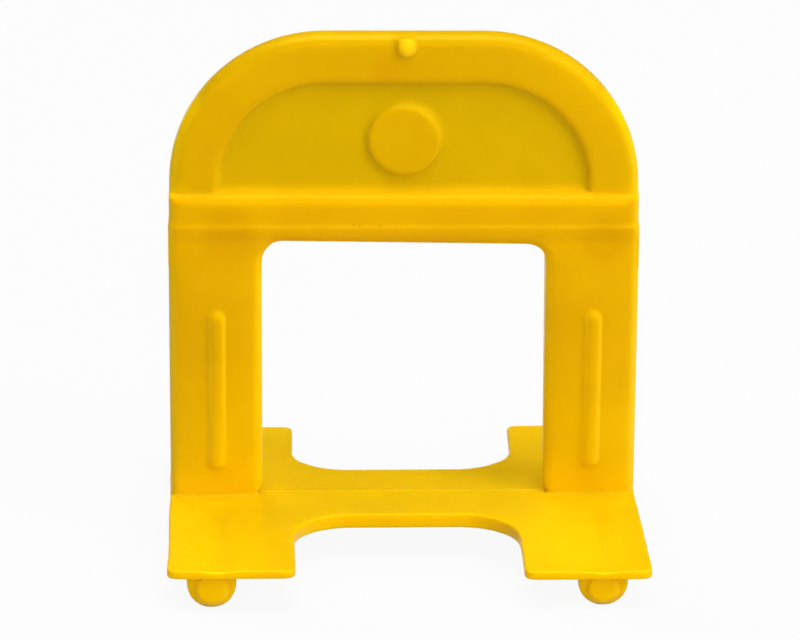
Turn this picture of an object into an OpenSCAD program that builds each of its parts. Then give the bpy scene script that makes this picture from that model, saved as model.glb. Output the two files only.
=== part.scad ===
// Tile levelling clip, moulded in one piece. The base lies under two tiles, the legs stand in the
// joint between them, and a wedge driven through the window draws the base up against the tiles.
// X runs along the joint, Y across it and Z up. The clip stands on its lugs at Z = 0.

/* [Head] */
// Width over the legs and the bar
body_w = 40.1; // [36:0.1:46]
// Height of the head above the bar
head_h = 13.92; // [12:0.02:18]
// Outer radius of the head's two corners
head_r = 13.2; // [10:0.2:13.6]
// Step from the clip's sides in to the rim
head_step = 0.12; // [0.1:0.02:0.3]
// Thickness of the rim
rim_t = 2.6; // [2.2:0.1:3]
// Width of the rim round the recess
rim_w = 4; // [3:0.25:5.5]
// Rounding of the rim's outer edges
rim_round = 0.9; // [0.4:0.1:1]
// Thickness of the web between the two recesses
web_t = 1.2; // [0.8:0.1:1.6]
// Draft of the recess's arched wall, measured sideways
recess_draft = 0.5; // [0.1:0.05:0.6]
// Rise of the recess's floor from the bar back to the web
floor_rise = 0.3; // [0.1:0.05:0.5]

/* [Boss and gate] */
// Diameter of the round boss in the front recess
boss_d = 6.6; // [4:0.2:8]
// Height of the boss above the web
boss_h = 0.55; // [0.3:0.05:0.7]
// Draft of the boss's edge, measured sideways
boss_draft = 0.25; // [0.1:0.05:0.4]
// Height of the boss's centre above the bar
boss_z = 4.68; // [4.2:0.02:5]
// Width of the gate stub at the top of the rim
gate_w = 1.7; // [1:0.1:2.4]
// Length of the gate stub down the rim
gate_l = 1.8; // [1.4:0.1:3]
// Height of the gate stub above the rim
gate_h = 0.8; // [0.4:0.1:0.8]

/* [Bar] */
// Height of the bar from the window to the recess
bar_h = 4.33; // [3.6:0.01:6]
// Thickness of the bar
bar_t = 3.8; // [3.4:0.1:4.6]
// Radius of the bar's nose
nose_r = 1.2; // [1.1:0.05:1.4]
// Height of the bar's nose
nose_h = 1.02; // [0.8:0.01:1.05]
// Height of the band between the window and the witness line
band_h = 1.59; // [1.2:0.01:2]
// Step out at the witness line from the bar to the band and the legs
mould_step = 0.08; // [0.04:0.01:0.1]

/* [Window and legs] */
// Width of the wedge window
window_w = 24.16; // [20:0.02:26]
// Height of the wedge window above the ridge of the base
window_h = 22.9; // [16:0.1:30]
// Radius of the window's upper corners
window_r = 1.7; // [1.2:0.1:3]
// Thickness of the legs at the foot, where they break
foot_t = 1.8; // [1.4:0.1:2.4]
// Rounding along the edges of the legs
leg_round = 0.8; // [0.3:0.1:0.9]
// Radius of the foot's corners towards the window
neck_r = 1; // [0.5:0.1:1.4]
// Radius of the foot's outer corners
toe_r = 0.45; // [0.2:0.05:0.8]
// Radius of the break groove across the foot
groove_r = 0.12; // [0.08:0.01:0.2]
// Height of the break groove above the ridge
groove_z = 0.2; // [0.2:0.01:0.6]

/* [Ribs] */
// Width of the rib on each leg
rib_w = 1.7; // [1:0.1:2.4]
// Length of the rib
rib_l = 14.7; // [6:0.1:15]
// Height of the rib above the leg
rib_h = 0.5; // [0.3:0.05:0.5]
// Height of the rib's lower end above the base
rib_z = 2.4; // [1:0.1:4]

/* [Base] */
// Length of the base across the joint
base_l = 34.8; // [30:0.2:44]
// Thickness of the base at its ridge
ridge_t = 1.53; // [1.3:0.01:2]
// Thickness of the pads at their ends
pad_t = 0.76; // [0.6:0.02:1.1]
// Gap between the two pads on each side of the joint
pad_gap = 19.2; // [14:0.2:20]
// Spread of the pads at their ends beyond the legs
pad_flare = 0.55; // [0.1:0.05:1]
// Rounding of the pads' corners in plan
pad_r = 0.8; // [0.3:0.1:1.5]
// Length of the bridge between the pads, across the joint
bridge_l = 10.7; // [8:0.1:14]
// Radius where the bridge meets the pads
bridge_r = 5; // [2:0.5:6]
// Radius of the parting line's flash along the ridge
flash_r = 0.25; // [0.15:0.05:0.4]
// Height of the flash above the ridge
flash_h = 0.08; // [0.05:0.01:0.12]

/* [Lugs] */
// Width of the half-round lug under each pair of pads
lug_w = 4.2; // [3:0.1:5]
// Height of the lugs below the base
lug_h = 2.75; // [2.6:0.05:4]
// Distance from the clip's sides in to the centres of the lugs
lug_side = 3.6; // [2.8:0.05:6]
// Distance from the ends of the pads in to the ends of the lugs
lug_inset = 0.8; // [0.6:0.1:3]
// Diameter of the pin mark on the front end of each lug
lug_pin_d = 2.6; // [1.6:0.1:2.6]
// Height of the pin mark's centre
lug_pin_z = 1.7; // [1.4:0.05:1.8]
// Height of the pin mark above the lug's end
lug_pin_h = 0.35; // [0.2:0.05:0.5]

/* [Hidden] */
$fn = 64;
// Depth by which one form is sunk into the next
sink = 0.4;
// Step that keeps the tops of the legs inside the shoulders
nest = 0.02;
ridge_z = lug_h + ridge_t;
window_z = ridge_z + window_h;
line_z = window_z + band_h;
ledge_z = window_z + bar_h;
top_z = ledge_z + head_h;
head_x = body_w / 2 - head_step;
arc_r = min(head_r, head_h - mould_step, head_x - mould_step);
arc_z = top_z - arc_r;
arc_x = head_x - arc_r;
rim_in = arc_r - rim_w;
bar_w = body_w - 2 * mould_step;
frame_t = bar_t + 2 * mould_step;
corner_x = window_w / 2 - window_r;
corner_z = window_z - window_r;
shoulder_z = corner_z - sink;
shoulder_in = window_w / 2 + leg_round + sink;
shoulder_r = norm([shoulder_in - corner_x, line_z - corner_z]) + sink;
leg_in = window_w / 2 + nest;
leg_out = body_w / 2 - nest;
leg_x = (leg_in + leg_out) / 2;
leg_w = leg_out - leg_in;
leg_lean = atan((frame_t / 2 - nest - foot_t / 2) / (shoulder_z - ridge_z));
leg_edge = min(leg_round, foot_t / 2 - nest);
half_l = base_l / 2;
flare_a = atan(pad_flare / half_l);
bay_r = min(bridge_r, pad_gap / 2 - mould_step, half_l - bridge_l / 2 - pad_r);
lug_x = body_w / 2 - lug_side;

// Rectangle with round corners, centred
module round_rect(w, d, r) {
    square([w - 2 * r, d], center = true);
    square([w, d - 2 * r], center = true);
    for (i = [-1, 1], j = [-1, 1])
        translate([i * (w / 2 - r), j * (d / 2 - r)]) circle(r);
}

// Section of the frame from a rounded edge at x = 0 inwards
module frame_section(depth) {
    intersection() {
        translate([depth, 0]) round_rect(2 * depth, frame_t, leg_round);
        translate([0, -frame_t]) square([depth, 2 * frame_t]);
    }
}

// Section of the rim, measured from the centre of the head's corner
module rim_section() {
    root = rim_in - recess_draft * rim_t / (rim_t - web_t);
    intersection() {
        polygon([[root, 0], [rim_in, rim_t / 2], [arc_r, rim_t / 2],
                 [arc_r, -rim_t / 2], [rim_in, -rim_t / 2]]);
        translate([arc_r - rim_w, 0]) round_rect(2 * rim_w, rim_t, rim_round);
    }
}

// Turns a shape drawn across and up into one that runs along X
module along_x(len) {
    rotate([90, 0, 90]) linear_extrude(len, center = true) children();
}

// Both sides of a mirror plane
module both(plane) {
    children();
    mirror(plane) children();
}

module rim() {
    both([1, 0, 0]) {
        translate([arc_x, 0, arc_z]) rotate([90, 0, 0]) rotate_extrude(angle = 90) rim_section();
        translate([arc_x, 0, ledge_z - sink]) linear_extrude(arc_z - ledge_z + sink) rim_section();
    }
    translate([0, 0, arc_z]) rotate([0, -90, 0]) linear_extrude(2 * arc_x, center = true) rim_section();
}

// Flat web of the head, its edge buried in the rim
module web() {
    reach = rim_in + rim_w / 3;
    rotate([90, 0, 0]) linear_extrude(web_t, center = true) intersection() {
        union() {
            for (s = [-1, 1]) translate([s * arc_x, arc_z]) circle(reach);
            translate([-arc_x, ledge_z - sink]) square([2 * arc_x, arc_z + reach - 2 * sink - ledge_z]);
            translate([-arc_x - reach, ledge_z - sink]) square([2 * (arc_x + reach), arc_z - ledge_z + sink]);
        }
        translate([-body_w, ledge_z - sink]) square([2 * body_w, head_h]);
    }
}

// Drafted floor of the two recesses, above the bar
module recess_floor() {
    peak = floor_rise * rim_t / (rim_t - web_t);
    along_x(2 * (arc_x + rim_in))
        polygon([[-rim_t / 2, ledge_z], [0, ledge_z + peak], [rim_t / 2, ledge_z], [0, ledge_z - sink]]);
}

// Round boss in the front recess
module boss() {
    translate([0, -web_t / 2 + sink, ledge_z + boss_z]) rotate([90, 0, 0])
        cylinder(h = sink + boss_h, d1 = boss_d, d2 = boss_d - 2 * boss_draft);
}

// Stub of the gate at the top of the rim
module gate() {
    r = gate_w / 2;
    translate([0, r - gate_h - rim_t / 2, top_z - gate_l + r]) {
        sphere(r);
        cylinder(r = r, h = gate_l - r - sink / 2);
    }
}

// Section of the bar across the joint, with the round nose on both sides of the head
module bar_section() {
    nose_z = ledge_z - nose_h;
    translate([-bar_t / 2, line_z - sink]) square([bar_t, nose_z - line_z + sink]);
    translate([-rim_t / 2, nose_z - sink]) square([rim_t, nose_h + sink]);
    intersection() {
        for (s = [-1, 1]) translate([s * (bar_t / 2 - nose_r), nose_z]) circle(nose_r);
        translate([-bar_t, nose_z - sink]) square([2 * bar_t, nose_h + sink]);
    }
}

module bar() {
    intersection() {
        translate([0, 0, line_z - sink])
            linear_extrude(ledge_z - line_z + sink) round_rect(bar_w, bar_t, leg_round);
        along_x(2 * body_w) bar_section();
    }
}

// Band under the witness line, with the window's round corners and the shoulders of the legs
module frame() {
    translate([0, 0, window_z]) rotate([0, -90, 0])
        linear_extrude(2 * corner_x, center = true) frame_section(band_h);
    both([1, 0, 0]) {
        intersection() {
            translate([corner_x, 0, corner_z]) rotate([90, 0, 0]) rotate_extrude(angle = 90)
                translate([window_r, 0]) frame_section(shoulder_r - window_r);
            translate([0, -body_w / 2, 0]) cube([body_w, body_w, line_z]);
        }
        translate([body_w / 2, 0, corner_z]) mirror([1, 0, 0])
            linear_extrude(line_z - corner_z) frame_section(body_w / 2 - shoulder_in);
        translate([(window_w + body_w) / 4, 0, shoulder_z])
            linear_extrude(corner_z - shoulder_z) round_rect((body_w - window_w) / 2, frame_t, leg_round);
    }
}

// Places a shape on the front of the right leg, which leans out from the foot
module on_leg() {
    translate([leg_x, -foot_t / 2, ridge_z]) rotate([leg_lean, 0, 0]) children();
}

// Front half of the right leg
module half_leg() {
    tall = (shoulder_z - ridge_z) / cos(leg_lean) + sink / 2;
    intersection() {
        on_leg() translate([0, bar_t, -ridge_t / 2])
            linear_extrude(tall + ridge_t / 2) round_rect(leg_w, 2 * bar_t, leg_edge);
        translate([0, -body_w, 0]) cube([body_w, body_w, top_z]);
    }
}

// Cut that rounds the foot of the right leg in front view
module neck_cut(x, side, r) {
    translate([x, 0, ridge_z]) rotate([90, 0, 0]) linear_extrude(2 * bar_t, center = true) difference() {
        translate([side > 0 ? -sink : -r, -ridge_t]) square([r + sink, ridge_t + r]);
        translate([side * r, r]) circle(r);
    }
}

module leg() {
    difference() {
        both([0, 1, 0]) half_leg();
        neck_cut(leg_in, 1, neck_r);
        neck_cut(leg_out, -1, toe_r);
        for (s = [-1, 1]) translate([leg_x, s * foot_t / 2, ridge_z + groove_z])
            rotate([0, 90, 0]) cylinder(r = groove_r, h = 2 * leg_w, center = true);
    }
    both([0, 1, 0]) on_leg() translate([0, rib_w / 2 - rib_h, rib_z]) rib();
}

module rib() {
    r = rib_w / 2;
    translate([0, 0, r]) sphere(r);
    translate([0, 0, r]) cylinder(r = r, h = rib_l - rib_w);
    translate([0, 0, rib_l - r]) sphere(r);
}

// Quarter of the base's outline: a pad that spreads a little towards its end
module quarter_plan() {
    pad_x = body_w / 2 + pad_flare;
    c = [pad_x - pad_r / cos(flare_a) - pad_r * tan(flare_a), half_l - pad_r];
    inner_c = [pad_gap / 2 + pad_r, half_l - pad_r];
    difference() {
        polygon([[0, 0], [body_w / 2, 0], [pad_x, half_l], [0, half_l]]);
        difference() {
            polygon([c, c + 2 * pad_r * [cos(flare_a), -sin(flare_a)], [pad_x, half_l] + [pad_r, pad_r],
                     c + [0, 2 * pad_r]]);
            translate(c) circle(pad_r);
        }
        difference() {
            translate([pad_gap / 2 - pad_r, half_l - pad_r]) square(2 * pad_r);
            translate(inner_c) circle(pad_r);
        }
        bay();
    }
}

// Half of the cut-out between two pads
module bay() {
    cx = pad_gap / 2 - bay_r;
    translate([-sink, bridge_l / 2]) square([cx + sink, half_l]);
    translate([-sink, bridge_l / 2 + bay_r]) square([pad_gap / 2 + sink, half_l]);
    translate([cx, bridge_l / 2 + bay_r]) circle(bay_r);
}

module base() {
    intersection() {
        translate([0, 0, lug_h]) linear_extrude(ridge_t) both([1, 0]) both([0, 1]) quarter_plan();
        along_x(2 * body_w)
            polygon([[-half_l, 0], [half_l, 0], [half_l, lug_h + pad_t], [0, ridge_z], [-half_l, lug_h + pad_t]]);
    }
    translate([0, 0, ridge_z + flash_h - flash_r]) rotate([0, 90, 0])
        cylinder(r = flash_r, h = window_w + 2 * sink, center = true);
}

module lug() {
    end = half_l - lug_inset;
    rotate([90, 0, 0]) linear_extrude(2 * end, center = true) {
        intersection() {
            translate([0, lug_w / 2]) circle(d = lug_w);
            translate([-lug_w, 0]) square([2 * lug_w, lug_h + sink]);
        }
        translate([-lug_w / 2, lug_w / 2]) square([lug_w, max(lug_h - lug_w / 2, 0) + sink]);
    }
    translate([0, -end + sink, lug_pin_z]) rotate([90, 0, 0])
        cylinder(d = lug_pin_d, h = sink + lug_pin_h);
}

module clip() {
    color([0.95, 0.72, 0.02]) {
        rim();
        web();
        recess_floor();
        boss();
        gate();
        bar();
        frame();
        both([1, 0, 0]) leg();
        base();
        for (s = [-1, 1]) translate([s * lug_x, 0, 0]) lug();
    }
}

clip();
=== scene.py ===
import math
from types import SimpleNamespace
import bmesh
import bpy
import numpy as np
from mathutils import Matrix, Vector


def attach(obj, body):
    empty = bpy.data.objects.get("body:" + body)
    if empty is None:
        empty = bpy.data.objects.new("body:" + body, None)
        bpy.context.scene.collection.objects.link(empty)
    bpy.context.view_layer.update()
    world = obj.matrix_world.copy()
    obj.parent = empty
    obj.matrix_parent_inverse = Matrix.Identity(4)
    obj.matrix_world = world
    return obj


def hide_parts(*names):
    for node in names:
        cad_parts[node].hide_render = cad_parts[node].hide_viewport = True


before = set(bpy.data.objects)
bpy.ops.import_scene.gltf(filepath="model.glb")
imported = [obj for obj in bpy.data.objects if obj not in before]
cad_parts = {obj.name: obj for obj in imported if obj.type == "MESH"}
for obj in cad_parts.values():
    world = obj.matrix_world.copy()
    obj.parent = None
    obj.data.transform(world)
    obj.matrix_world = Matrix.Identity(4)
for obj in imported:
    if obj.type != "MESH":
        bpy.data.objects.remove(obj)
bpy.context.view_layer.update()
print("frame loaded:", sorted(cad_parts))

mm = 0.001  # sizes below are in millimetres unless a note says otherwise


# camera at the photograph's angle
photoCamera = {
    "eye": (-13.17, -450.5, 179.33),
    "target": (-0.27, 0.0, 19.73),
    "rollDeg": 0.27,
    "lens": 251.1,
    "sensor": 36.0,
    "clip": (0.01, 20.0),  # metres
}


def placeCamera(c):
    data = bpy.data.cameras.new("photoCamera")
    data.lens = c["lens"]
    data.sensor_width = c["sensor"]
    data.clip_start, data.clip_end = c["clip"]
    cam = bpy.data.objects.new("photoCamera", data)
    bpy.context.collection.objects.link(cam)
    eye = Vector(c["eye"]) * mm
    look = Vector(c["target"]) * mm - eye
    turn = look.to_track_quat("-Z", "Y").to_matrix().to_4x4()
    roll = Matrix.Rotation(math.radians(c["rollDeg"]), 4, "Z")
    cam.matrix_world = Matrix.Translation(eye) @ turn @ roll
    bpy.context.scene.camera = cam


placeCamera(photoCamera)
print("camera placed")


# the moulding: a soft-edged copy of the solid
mouldingShape = {
    "weld": 0.0005,
    "voxel": 0.12,
    "softenFactor": 0.5,
    "softenPasses": 14,
    "spotPasses": 34,  # further passes in the recess, on the gate stub and on the lugs
    "archCentre": (6.73, 32.23),  # across and up, of the head's corner arcs
    "recessRadius": 11.2,
    "recessFloor": 31.8,
    "gateCentre": (0.0, 44.6),  # across and up
    "gateRadius": 1.5,
    "gateFront": -1.35,
    "gateShare": 0.5,  # of the further passes
    "lugTop": 2.6,
    "lugFrom": 14.0,  # this far out from the middle of the base
    "lugShare": 0.4,
    "triangles": 185000,
}


def applyModifiers(piece):
    shot = piece.evaluated_get(bpy.context.evaluated_depsgraph_get())
    made = bpy.data.meshes.new_from_object(shot)
    old = piece.data
    piece.modifiers.clear()
    piece.data = made
    bpy.data.meshes.remove(old)


def points(piece, kind="co"):
    flat = np.empty(len(piece.data.vertices) * 3)
    piece.data.vertices.foreach_get(kind, flat)
    return flat.reshape(-1, 3)


def fromArch(x, z, centre):
    return np.hypot(np.maximum(np.abs(x) - centre[0], 0.0), np.maximum(z - centre[1], 0.0))


def softCopy(node, s):
    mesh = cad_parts[node].data.copy()
    mesh.transform(Matrix.Scale(1 / mm, 4))
    joined = bmesh.new()
    joined.from_mesh(mesh)
    bmesh.ops.remove_doubles(joined, verts=joined.verts, dist=s["weld"])
    joined.to_mesh(mesh)
    joined.free()
    mesh.materials.clear()
    piece = bpy.data.objects.new("clipMoulding", mesh)
    bpy.context.collection.objects.link(piece)
    grid = piece.modifiers.new("grid", "REMESH")
    grid.mode = "VOXEL"
    grid.voxel_size = s["voxel"]
    soften = piece.modifiers.new("soften", "SMOOTH")
    soften.factor = s["softenFactor"]
    soften.iterations = s["softenPasses"]
    applyModifiers(piece)
    return piece


def softenSpots(piece, s):
    x, y, z = points(piece).T
    recess = (fromArch(x, z, s["archCentre"]) < s["recessRadius"]) & (z > s["recessFloor"])
    gateX, gateZ = s["gateCentre"]
    gate = (np.hypot(x - gateX, z - gateZ) < s["gateRadius"]) & (y < s["gateFront"])
    lugs = (z < s["lugTop"]) & (np.abs(y) > s["lugFrom"])
    group = piece.vertex_groups.new(name="softSpots")
    for where, share in ((recess, 1.0), (gate, s["gateShare"]), (lugs, s["lugShare"])):
        group.add(np.flatnonzero(where).tolist(), share, "REPLACE")
    soften = piece.modifiers.new("softenSpots", "SMOOTH")
    soften.factor = s["softenFactor"]
    soften.iterations = s["spotPasses"]
    soften.vertex_group = "softSpots"
    applyModifiers(piece)
    piece.vertex_groups.clear()


def thinOut(piece, s):
    count = sum(len(face.vertices) - 2 for face in piece.data.polygons)
    thin = piece.modifiers.new("thin", "DECIMATE")
    thin.ratio = min(1.0, s["triangles"] / count)
    applyModifiers(piece)


clip = softCopy("clip", mouldingShape)
softenSpots(clip, mouldingShape)
print("soft copy:", len(clip.data.vertices), "points")


# what cooling left in the moulding: crowned legs, sink marks, a head and pads a little askew
# a pair named Rise or Fade gives the heights over which a mark comes in or goes out
coolingMarks = {
    "frontFacing": (0.3, 0.8),  # share of the normal from which a face counts, and counts in full
    "upFacing": (0.6, 0.9),
    "flatFacing": (0.1, 0.7),  # front or back
    "legMiddle": 16.06,
    "legHalf": 3.95,
    "legRise": (4.4, 10.0),
    "legFade": (19.0, 28.6),
    "legFoot": (4.28, 0.90),  # height of the foot and half its thickness
    "legLean": 0.051,
    "crown": 0.32,
    "ribKeep": 0.68,  # share of its height that a rib kept
    "ribReach": (1.2, 1.7),
    "ribDrop": 0.25,  # the ribs' lower ends sit lower by this much
    "ribFootRise": (4.6, 6.0),
    "ribFootFade": (7.0, 14.0),
    "ribShift": 0.1,
    "ribProud": 0.15,  # a rib shifts in full from this height above the face
    "edgeFall": 0.13,  # the frame's faces fall away by this much along its edges
    "edgeRise": (4.6, 7.0),
    "edgeFade": (30.4, 31.2),
    "outerEdge": (17.4, 20.05),  # across, from where a face starts to fall to where it ends
    "innerEdge": (14.3, 12.08),
    "innerFade": (25.0, 27.0),
    "rimFall": 0.2,  # the rim's faces fall away by this much at its sides
    "rimReach": (10.4, 13.2),
    "rimAcross": (7.0, 15.0),
    "rimRise": (31.6, 32.6),
    "gateReach": (1.4, 2.0),
    "gateEnds": (43.7, 45.3),
    "gateKeep": (1.0, 0.35),  # share of its height that the gate stub kept at these ends
    "gateShift": 0.12,
    "gateRoot": (1.2, 1.4),  # distances to the front over which the shift comes in
    "rimFace": -1.3,
    "sinks": [  # across, up, half width, half height, depth
        (-14.4, 29.5, 2.3, 0.7, 0.05),
        (-14.4, 27.2, 1.1, 1.3, 0.05),
        (16.8, 28.4, 1.3, 1.5, 0.06),
    ],
    "headTilt": 0.0044,  # fall to the right, per unit across
    "headTiltRise": (12.0, 26.0),
    "bandTilt": 0.0135,  # further fall of the window's upper edge
    "bandHeight": 27.4,
    "bandSpread": 0.7,
    "bandAcross": (11.0, 14.0),
    "bandLean": 0.16,  # the band under the witness line falls back by this much at its lower edge
    "bandRise": (22.0, 26.0),
    "bandFade": (27.2, 28.7),
    "ridgeDrop": 0.2,  # the base bowed down a little under the legs
    "ridgeMiddle": -1.5,
    "ridgeSpread": 4.0,
    "ridgeRise": (0.5, 2.4),
    "ridgeFade": (5.0, 10.0),
    "padLift": 0.16,  # the left front pad's end stands up this far
    "padDip": 0.08,  # and the right one's hangs down this far
    "padAlong": (5.0, 17.0),
    "padAcross": (4.0, 10.0),
    "padRise": (0.3, 2.6),
    "padFade": (5.0, 8.0),
    "baseRise": (2.3, 2.8),
    "baseFade": (4.4, 4.9),
    "padShift": 0.2,  # all the pads' ends lie over to the right
    "shiftAlong": (2.0, 15.0),
    "shiftAcross": (12.0, 19.0),
    "padPinch": 0.18,  # and the left ones spread less
    "pinchAlong": (1.0, 15.0),
    "pinchAcross": (14.0, 20.0),
    "lugSink": 0.25,  # the pads sank in over the thick lugs
    "lugMiddle": 16.3,
    "lugHalf": 1.2,
    "lugAlong": (2.0, 5.0),
}


def slope(v, start, end):
    return np.clip((v - start) / (end - start), 0.0, 1.0)


def ramp(v, start, end):
    t = slope(v, start, end)
    return t * t * (3 - 2 * t)


def between(v, rise, fade):
    return ramp(v, *rise) * (1 - ramp(v, *fade))


def hump(v, middle, half):
    return np.exp(-((v - middle) / half) ** 2)


def crownLegs(p, at, s):
    beside = np.abs(at.x) - s["legMiddle"]
    u = np.clip(beside / s["legHalf"], -1.0, 1.0)
    along = between(at.z, s["legRise"], s["legFade"])
    footZ, footHalf = s["legFoot"]
    proud = np.clip(-footHalf - s["legLean"] * (at.z - footZ) - at.y, 0.0, 1.0)  # height above the face
    onRib = (1 - ramp(np.abs(beside), *s["ribReach"])) * along
    ribFoot = between(at.z, s["ribFootRise"], s["ribFootFade"])
    p[:, 0] += s["ribShift"] * onRib * ramp(proud, 0.0, s["ribProud"])
    p[:, 1] += (1 - s["ribKeep"]) * proud * onRib
    p[:, 1] -= s["crown"] * (1 - u * u) * along * at.front
    p[:, 2] -= s["ribDrop"] * onRib * ribFoot * at.front


def easeEdges(p, at, s):
    across = np.abs(at.x)
    edge = slope(across, *s["outerEdge"]) ** 2
    edge += slope(across, *s["innerEdge"]) ** 2 * (1 - ramp(at.z, *s["innerFade"]))
    edge *= between(at.z, s["edgeRise"], s["edgeFade"])
    rim = slope(fromArch(at.x, at.z, mouldingShape["archCentre"]), *s["rimReach"]) ** 2
    rim *= ramp(across, *s["rimAcross"]) * ramp(at.z, *s["rimRise"])
    p[:, 1] -= (s["edgeFall"] * edge + s["rimFall"] * rim) * at.flat


def trimGate(p, at, s):
    gateX, gateZ = mouldingShape["gateCentre"]
    onGate = 1 - ramp(np.hypot(at.x - gateX, at.z - gateZ), *s["gateReach"])
    keep = np.interp(at.z, s["gateEnds"], s["gateKeep"])
    p[:, 0] += s["gateShift"] * onGate * ramp(-at.y, *s["gateRoot"])
    p[:, 1] += (1 - keep) * np.clip(s["rimFace"] - at.y, 0.0, 1.0) * onGate


def sinkIn(p, at, s):
    for across, up, wide, tall, depth in s["sinks"]:
        p[:, 1] += depth * hump(at.x, across, wide) * hump(at.z, up, tall) * at.front


def tiltFrame(p, at, s):
    p[:, 2] -= s["headTilt"] * at.x * ramp(at.z, *s["headTiltRise"])
    overWindow = 1 - ramp(np.abs(at.x), *s["bandAcross"])
    p[:, 2] -= s["bandTilt"] * at.x * hump(at.z, s["bandHeight"], s["bandSpread"]) * overWindow
    p[:, 1] += s["bandLean"] * between(at.z, s["bandRise"], s["bandFade"]) * at.front


def bendBase(p, at, s):
    out = np.abs(at.y)
    bow = hump(at.y, s["ridgeMiddle"], s["ridgeSpread"]) * between(at.z, s["ridgeRise"], s["ridgeFade"])
    p[:, 2] -= s["ridgeDrop"] * bow
    inBase = between(at.z, s["baseRise"], s["baseFade"])
    p[:, 0] += s["padShift"] * inBase * ramp(out, *s["shiftAlong"]) * (1 - ramp(at.x, *s["shiftAcross"]))
    p[:, 0] += s["padPinch"] * inBase * ramp(out, *s["pinchAlong"]) * ramp(-at.x, *s["pinchAcross"])
    overLug = hump(np.abs(at.x), s["lugMiddle"], s["lugHalf"]) * ramp(out, *s["lugAlong"])
    p[:, 2] -= s["lugSink"] * overLug * inBase * at.up
    frontPads = ramp(-at.y, *s["padAlong"]) * between(at.z, s["padRise"], s["padFade"])
    left, right = ramp(-at.x, *s["padAcross"]), ramp(at.x, *s["padAcross"])
    p[:, 2] += (s["padLift"] * left - s["padDip"] * right) * frontPads


def coolDown(piece, s):
    p = points(piece)
    low, high = p.min(axis=0), p.max(axis=0)
    x, y, z = p.T.copy()
    normalY, normalZ = points(piece, "normal").T[1:]
    at = SimpleNamespace(x=x, y=y, z=z)
    at.front = ramp(-normalY, *s["frontFacing"])
    at.up = ramp(normalZ, *s["upFacing"])
    at.flat = np.sign(y) * ramp(np.abs(normalY), *s["flatFacing"])
    for change in (crownLegs, easeEdges, trimGate, sinkIn, tiltFrame, bendBase):
        change(p, at, s)  # each reads the shape as it was before the first
    np.clip(p, low, high, out=p)
    piece.data.vertices.foreach_set("co", p.ravel())
    piece.data.update()


coolDown(clip, coolingMarks)
thinOut(clip, mouldingShape)
clip.data.transform(Matrix.Scale(mm, 4))
clip.data.polygons.foreach_set("use_smooth", [True] * len(clip.data.polygons))
print("cooled and thinned:", len(clip.data.polygons), "faces")


# yellow plastic: thin walls look paler and a little greener than thick ones; some colours below are
# painted light and shade
# unless noted, a pair gives where a colour starts and where it is full
yellowPlastic = {
    "color": (0.79, 0.43, 0.0005),
    "barRise": (24.0, 27.5),
    "legColor": (0.765, 0.425, 0.0005),
    "footPaleAndLit": (0.85, 0.52, 0.0005),  # paler towards the foot, where the legs taper, and painted light on the lower legs
    "footFall": (19.0, 4.5),
    "headColor": (0.755, 0.425, 0.0005),
    "headRise": (31.0, 32.1),
    "webColor": (0.69, 0.43, 0.0005),
    "webRise": (31.6, 32.1),
    "webDepth": (1.45, 0.75),
    "crestShadeColor": (0.66, 0.385, 0.0005),  # painted shade on the top of the rim, where it faces up
    "crestRise": (39.0, 43.0),
    "crestFacing": (0.1, 0.5),
    "baseColor": (0.77, 0.462, 0.001),
    "baseFall": (4.55, 4.1),
    "stripShadeColor": (0.73, 0.444, 0.001),  # painted shade between the pads
    "stripAcross": (11.0, 9.0),
    # painted light: the lugs are made lighter than the rest
    "lugLightColor": (0.90, 0.53, 0.0005),
    "lugFall": (2.9, 2.5),
    "endFacing": (0.35, 0.0),  # painted light: the base's ends, where they face sideways or down, get the lugs' lighter colour
    "endFall": (4.3, 4.0),
    "edgeGlowColor": (0.90, 0.57, 0.0005),  # painted glow of light coming through along the frame's side faces
    "edgeFacing": (0.2, 0.8),
    "edgeRise": (4.4, 6.0),
    "belowHead": (31.6, 31.2),
    "besideRecess": (16.5, 18.0),
    # painted highlight: the gate stub lighter than the rim round it
    "gateHighlightColor": (0.90, 0.55, 0.005),
    "gatePlace": (0.25, -2.0, 44.45),
    "gateReach": (1.15, 0.7),
    "noiseSpan": (0.3, 0.7),  # the part of a noise's range that is used
    "cloudDrift": 0.06,  # share by which the colour drifts
    "cloudNoise": (0.16, 3.0),  # scale and detail
    "roughness": (0.34, 0.44),  # least and most
    "roughNoise": (0.5, 4.0),
    "specularTint": (1.0, 0.75, 0.02),
    "specularLevel": 0.36,
    "subsurface": 0.7,
    "subsurfaceRadius": (1.0, 0.85, 0.25),
    "subsurfaceScale": 0.8,
    "waveHeight": 0.010,
    "waveNoise": (0.35, 2.0),
    "grainHeight": 0.0012,
    "grainNoise": (6.0, 3.0),
    "witnessHighlightColor": (0.95, 0.58, 0.01),  # painted highlight on the line round the bar where two halves of the mould met
    "witnessShare": 0.08,
    "witnessHeight": 28.77,
    "witnessHalf": 0.22,
    "witnessRaise": 0.003,
    "spotEdge": (1.2, 0.5),  # a spot's soft edge, in radii
    "sinkShadeColor": (0.70, 0.362, 0.0005),  # painted shade in the sink marks at the legs' tops and beside the gate stub
    "sinkShadeShare": 0.75,
    "sinkShadeSpots": [  # place and radius
        (-14.9, -2.0, 28.0, 2.6),
        (17.0, -2.0, 27.4, 2.2),
        (-1.6, -1.3, 42.6, 1.5),
    ],
    "darkColor": (0.30, 0.14, 0.01),
    "darkShare": 0.5,
    "darkSpots": [
        (-2.8, -1.6, 4.2, 0.12),
        (-4.3, -1.9, 29.0, 0.10),
        (-3.8, -1.9, 28.9, 0.10),
        (-2.05, -1.9, 28.9, 0.10),
        (17.2, -1.0, 4.4, 0.12),
        (12.4, -16.4, 3.6, 0.16),
    ],
    "paleColor": (1.0, 0.72, 0.15),
    "paleShare": 0.5,
    "paleSpots": [
        (-6.8, -3.2, 4.15, 0.14),
        (1.3, 4.7, 4.1, 0.14),
        (6.4, 3.1, 4.15, 0.14),
    ],
}


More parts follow.
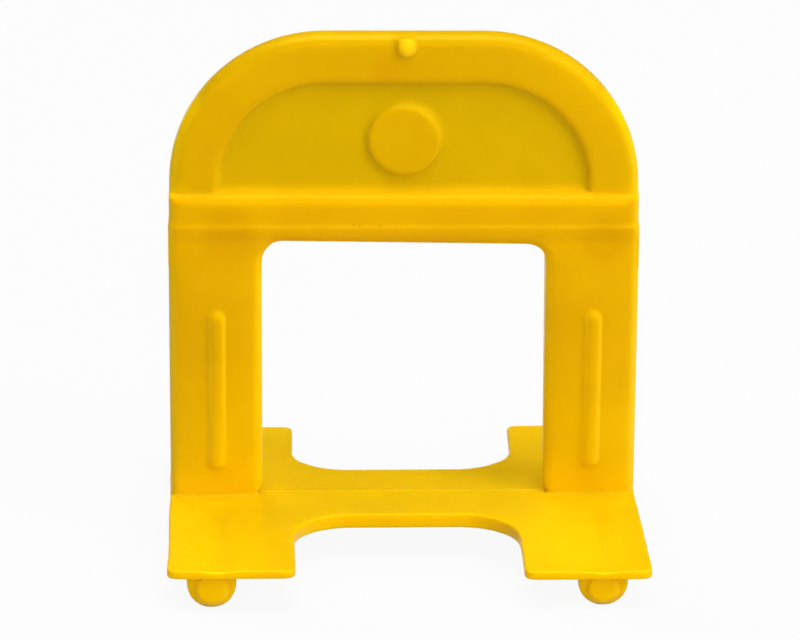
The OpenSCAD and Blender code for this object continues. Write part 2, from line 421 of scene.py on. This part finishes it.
class Board:  # short hand for laying out nodes
    def __init__(self, tree):
        self.tree = tree
        tree.nodes.clear()

    def add(self, kind, **sets):
        node = self.tree.nodes.new(kind)
        for name, value in sets.items():
            setattr(node, name, value)
        return node

    def wire(self, source, target):
        self.tree.links.new(source, target)

    def split(self, vector):
        node = self.add("ShaderNodeSeparateXYZ")
        self.wire(vector, node.inputs[0])
        return node.outputs

    def math(self, op, a, b=None):
        node = self.add("ShaderNodeMath", operation=op)
        for i, v in enumerate((a, b)):
            if v is None:
                continue
            if isinstance(v, (int, float)):
                node.inputs[i].default_value = v
            else:
                self.wire(v, node.inputs[i])
        return node.outputs[0]

    def both(self, a, b):
        return self.math("MULTIPLY", a, b)

    def either(self, a, b):
        return self.math("MAXIMUM", a, b)

    def size(self, a):
        return self.math("ABSOLUTE", a)

    def span(self, value, start, end, low=0.0, high=1.0):
        node = self.add("ShaderNodeMapRange", interpolation_type="SMOOTHSTEP")
        self.wire(value, node.inputs["Value"])
        for name, v in (("From Min", start), ("From Max", end), ("To Min", low), ("To Max", high)):
            node.inputs[name].default_value = v
        return node.outputs["Result"]

    def noise(self, vector, scale, detail):
        node = self.add("ShaderNodeTexNoise")
        node.inputs["Scale"].default_value = scale
        node.inputs["Detail"].default_value = detail
        self.wire(vector, node.inputs["Vector"])
        return node.outputs["Fac"]

    def mix(self, share, a, b, blend="MIX"):
        node = self.add("ShaderNodeMix", data_type="RGBA", blend_type=blend)
        for i, v in ((0, share), (6, a), (7, b)):  # sockets of a colour mix
            if isinstance(v, float):
                node.inputs[i].default_value = v
            elif isinstance(v, tuple):
                node.inputs[i].default_value = (*v, 1)
            else:
                self.wire(v, node.inputs[i])
        return node.outputs[2]


def spotGroup(edge):
    tree = bpy.data.node_groups.new("spot", "ShaderNodeTree")
    b = Board(tree)
    for name, kind in (("Vector", "Vector"), ("Place", "Vector"), ("Radius", "Float")):
        tree.interface.new_socket(name, in_out="INPUT", socket_type="NodeSocket" + kind)
    tree.interface.new_socket("Mask", in_out="OUTPUT", socket_type="NodeSocketFloat")
    given = b.add("NodeGroupInput")
    made = b.add("NodeGroupOutput")
    far = b.add("ShaderNodeVectorMath", operation="DISTANCE")
    b.wire(given.outputs["Vector"], far.inputs[0])
    b.wire(given.outputs["Place"], far.inputs[1])
    radii = b.math("DIVIDE", far.outputs["Value"], given.outputs["Radius"])
    b.wire(b.span(radii, *edge), made.inputs["Mask"])
    return tree


def spotMask(b, group, vector, spots):
    mask = None
    for x, y, z, r in spots:
        spot = b.add("ShaderNodeGroup", node_tree=group)
        b.wire(vector, spot.inputs["Vector"])
        spot.inputs["Place"].default_value = (x, y, z)
        spot.inputs["Radius"].default_value = r
        mask = spot.outputs["Mask"] if mask is None else b.either(mask, spot.outputs["Mask"])
    return mask


def wallColors(b, at, s):
    # the legs paler towards the foot: thinner walls, and painted light on the lower legs
    legs = b.mix(b.span(at.z, *s["footFall"]), s["legColor"], s["footPaleAndLit"])
    bar = b.mix(b.span(at.z, *s["barRise"]), legs, s["color"])
    head = b.mix(b.span(at.z, *s["headRise"]), bar, s["headColor"])
    web = b.both(b.span(at.depth, *s["webDepth"]), b.span(at.z, *s["webRise"]))
    # painted shade between the pads
    base = b.mix(b.span(at.across, *s["stripAcross"]), s["baseColor"], s["stripShadeColor"])
    return b.mix(b.span(at.z, *s["baseFall"]), b.mix(web, head, s["webColor"]), base)


def paintedLightColors(b, body, at, s):
    # painted light on the lugs and on the base's ends
    ends = b.both(b.span(at.normal["Z"], *s["endFacing"]), b.span(at.z, *s["endFall"]))
    body = b.mix(b.either(ends, b.span(at.z, *s["lugFall"])), body, s["lugLightColor"])
    # painted glow along the frame's side faces
    sides = b.both(b.span(b.size(at.normal["X"]), *s["edgeFacing"]), b.span(at.z, *s["edgeRise"]))
    outside = b.either(b.span(at.z, *s["belowHead"]), b.span(at.across, *s["besideRecess"]))
    body = b.mix(b.both(sides, outside), body, s["edgeGlowColor"])
    # painted shade on the rim's up-facing top
    crest = b.both(b.span(at.normal["Z"], *s["crestFacing"]), b.span(at.z, *s["crestRise"]))
    body = b.mix(crest, body, s["crestShadeColor"])
    # painted highlight on the gate stub
    toGate = b.add("ShaderNodeVectorMath", operation="DISTANCE")
    b.wire(at.place, toGate.inputs[0])
    toGate.inputs[1].default_value = s["gatePlace"]
    return b.mix(b.span(toGate.outputs["Value"], *s["gateReach"]), body, s["gateHighlightColor"])


def addMarks(b, color, at, bead, s):
    cloud = b.noise(at.place, *s["cloudNoise"])
    color = b.mix(1.0, color, b.span(cloud, *s["noiseSpan"], 1 - s["cloudDrift"], 1.0), "MULTIPLY")
    # painted highlight along the witness line
    color = b.mix(b.both(bead, s["witnessShare"]), color, s["witnessHighlightColor"])
    group = spotGroup(s["spotEdge"])
    # painted shade in the sink marks; then the dark and pale spots
    for kind in ("sinkShade", "dark", "pale"):
        mask = spotMask(b, group, at.place, s[kind + "Spots"])
        color = b.mix(b.both(mask, s[kind + "Share"]), color, s[kind + "Color"])
    return color


def addRelief(b, at, bead, s):
    waves = b.both(b.noise(at.place, *s["waveNoise"]), s["waveHeight"] * mm)
    grain = b.both(b.noise(at.place, *s["grainNoise"]), s["grainHeight"] * mm)
    raised = b.both(bead, s["witnessRaise"] * mm)
    bump = b.add("ShaderNodeBump")
    bump.inputs["Distance"].default_value = 1.0
    b.wire(b.math("ADD", b.math("ADD", waves, grain), raised), bump.inputs["Height"])
    return bump.outputs[0]


def plasticMaterial(s):
    mat = bpy.data.materials.new("yellowPlastic")
    mat.use_nodes = True
    b = Board(mat.node_tree)
    out = b.add("ShaderNodeOutputMaterial")
    skin = b.add("ShaderNodeBsdfPrincipled")
    b.wire(skin.outputs[0], out.inputs[0])
    coord = b.add("ShaderNodeTexCoord")
    toMm = b.add("ShaderNodeMapping")
    toMm.inputs["Scale"].default_value = (1 / mm,) * 3
    b.wire(coord.outputs["Object"], toMm.inputs["Vector"])
    at = SimpleNamespace(place=toMm.outputs[0], normal=b.split(coord.outputs["Normal"]))
    x, y, at.z = b.split(at.place)
    at.across, at.depth = b.size(x), b.size(y)
    level = b.math("ADD", at.z, b.both(x, coolingMarks["headTilt"]))  # the line falls with the head
    bead = b.span(b.size(b.math("SUBTRACT", level, s["witnessHeight"])), s["witnessHalf"], 0.0)
    color = paintedLightColors(b, wallColors(b, at, s), at, s)
    b.wire(addMarks(b, color, at, bead, s), skin.inputs["Base Color"])
    rough = b.noise(at.place, *s["roughNoise"])
    b.wire(b.span(rough, *s["noiseSpan"], *s["roughness"]), skin.inputs["Roughness"])
    b.wire(addRelief(b, at, bead, s), skin.inputs["Normal"])
    skin.inputs["Specular Tint"].default_value = (*s["specularTint"], 1)
    skin.inputs["Specular IOR Level"].default_value = s["specularLevel"]
    skin.inputs["Subsurface Weight"].default_value = s["subsurface"]
    skin.inputs["Subsurface Radius"].default_value = s["subsurfaceRadius"]
    skin.inputs["Subsurface Scale"].default_value = s["subsurfaceScale"] * mm
    return mat


clip.data.materials.append(plasticMaterial(yellowPlastic))
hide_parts("clip")
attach(clip, "root")
print("plastic ready")


# studio: pale floor, soft light
studio = {
    "floorSize": 4.0,  # metres, as all of these
    "floorColor": (0.45, 0.45, 0.45),
    "floorGlow": 0.93,
    "worldLevel": 0.02,
    "aim": (0.0, 0.0, 0.02),
    "lamps": [  # name, place, size, watts, tint
        ("keyLamp", (0.66, -0.42, 0.60), 0.45, 4.5, (1.0, 0.97, 0.92)),
        ("fillLamp", (0.30, -0.93, 0.32), 0.7, 4.7, (1.0, 0.97, 0.92)),
        ("sideLamp", (-0.70, -0.45, 0.35), 0.8, 0.9, (1.0, 1.0, 1.0)),
        ("topLamp", (0.04, -0.10, 0.95), 0.8, 9.4, (0.95, 1.0, 1.04)),
        ("backLamp", (-0.3, 0.7, 0.75), 0.5, 2.5, (0.95, 1.0, 1.04)),
        ("rearLamp", (-0.40, 0.95, 0.30), 0.8, 3.4, (1.0, 1.0, 1.0)),
    ],
    "noHighlight": ("backLamp", "rearLamp"),  # these leave no sheen on the base
}


def makeFloor(s):
    mesh = bpy.data.meshes.new("floor")
    h = s["floorSize"] / 2
    mesh.from_pydata([(-h, -h, 0), (h, -h, 0), (h, h, 0), (-h, h, 0)], [], [(0, 1, 2, 3)])
    floor = bpy.data.objects.new("floor", mesh)
    bpy.context.collection.objects.link(floor)
    mat = bpy.data.materials.new("paleFloor")
    mat.use_nodes = True
    b = Board(mat.node_tree)
    out = b.add("ShaderNodeOutputMaterial")
    paint = b.add("ShaderNodeBsdfDiffuse")
    paint.inputs["Color"].default_value = (*s["floorColor"], 1)
    glow = b.add("ShaderNodeEmission")
    rays = b.add("ShaderNodeLightPath").outputs
    seen = b.either(rays["Is Camera Ray"], rays["Is Glossy Ray"])
    seen = b.either(seen, rays["Is Transmission Ray"])
    mix = b.add("ShaderNodeMixShader")
    b.wire(b.both(seen, s["floorGlow"]), mix.inputs[0])
    b.wire(paint.outputs[0], mix.inputs[1])
    b.wire(glow.outputs[0], mix.inputs[2])
    b.wire(mix.outputs[0], out.inputs[0])
    mesh.materials.append(mat)


def makeLights(s):
    world = bpy.data.worlds.new("studioWorld")
    world.use_nodes = True
    back = world.node_tree.nodes["Background"]
    back.inputs["Color"].default_value = (1, 1, 1, 1)
    back.inputs["Strength"].default_value = s["worldLevel"]
    bpy.context.scene.world = world
    for name, place, size, power, tint in s["lamps"]:
        data = bpy.data.lights.new(name, "AREA")
        data.shape = "DISK"
        data.size = size
        data.energy = power
        data.color = tint
        lamp = bpy.data.objects.new(name, data)
        bpy.context.collection.objects.link(lamp)
        lamp.visible_glossy = name not in s["noHighlight"]
        lamp.location = place
        look = Vector(s["aim"]) - Vector(place)
        lamp.rotation_euler = look.to_track_quat("-Z", "Y").to_euler()


makeFloor(studio)
makeLights(studio)
bpy.context.scene.view_settings.view_transform = "Standard"
print("studio lit")
